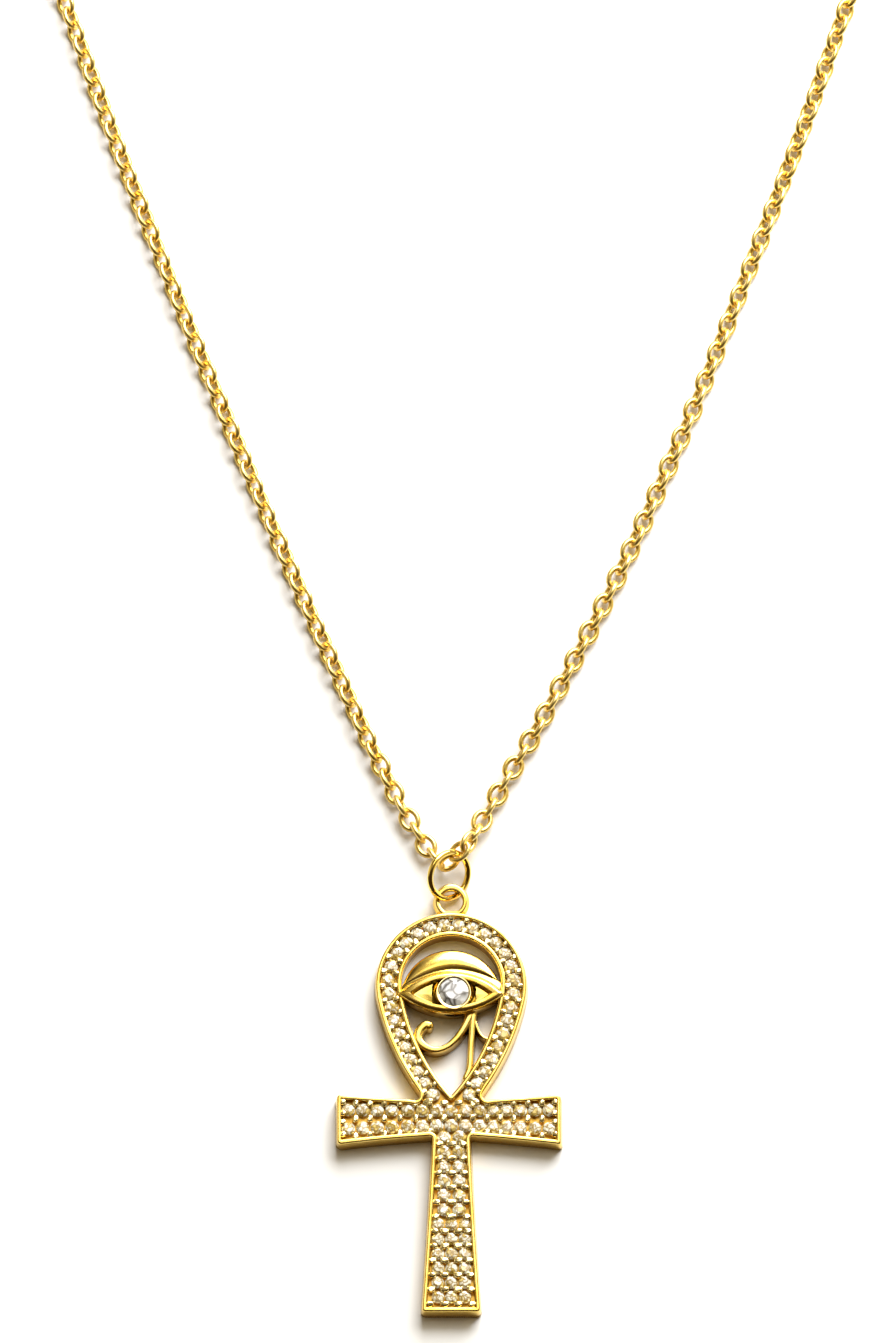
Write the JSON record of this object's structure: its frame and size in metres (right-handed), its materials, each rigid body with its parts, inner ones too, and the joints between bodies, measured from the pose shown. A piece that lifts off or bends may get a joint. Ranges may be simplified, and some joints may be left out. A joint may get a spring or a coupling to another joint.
{
  "type": "ankh pendant necklace",
  "caption": "Gold ankh pendant paved with small clear stones, with an almond eye in its loop, on a fine cable chain with a jump ring and a claw clasp",
  "frame": {"origin": "on the flat back of the ankh, behind the middle of its arms", "axes": "+X across the arms to the right, +Y up the pendant towards the chain, +Z out of the paved face, away from the surface that it lies on"},
  "size_m": [0.1008, 0.2297, 0.004],
  "materials": {
    "cast_gold": "polished gold plate",
    "wire_gold": "polished gold plate",
    "chain_gold": "bright gold plate",
    "pave_stone": "small faceted clear stones",
    "eye_stone": "round brilliant clear stone"
  },
  "bodies": {
    "root": {"ankh_casting": "cast_gold", "pave_stones": "pave_stone", "eye_stone": "eye_stone", "jump_ring": "wire_gold", "chain": "chain_gold", "clasp": "wire_gold"}
  },
  "joints": []
}
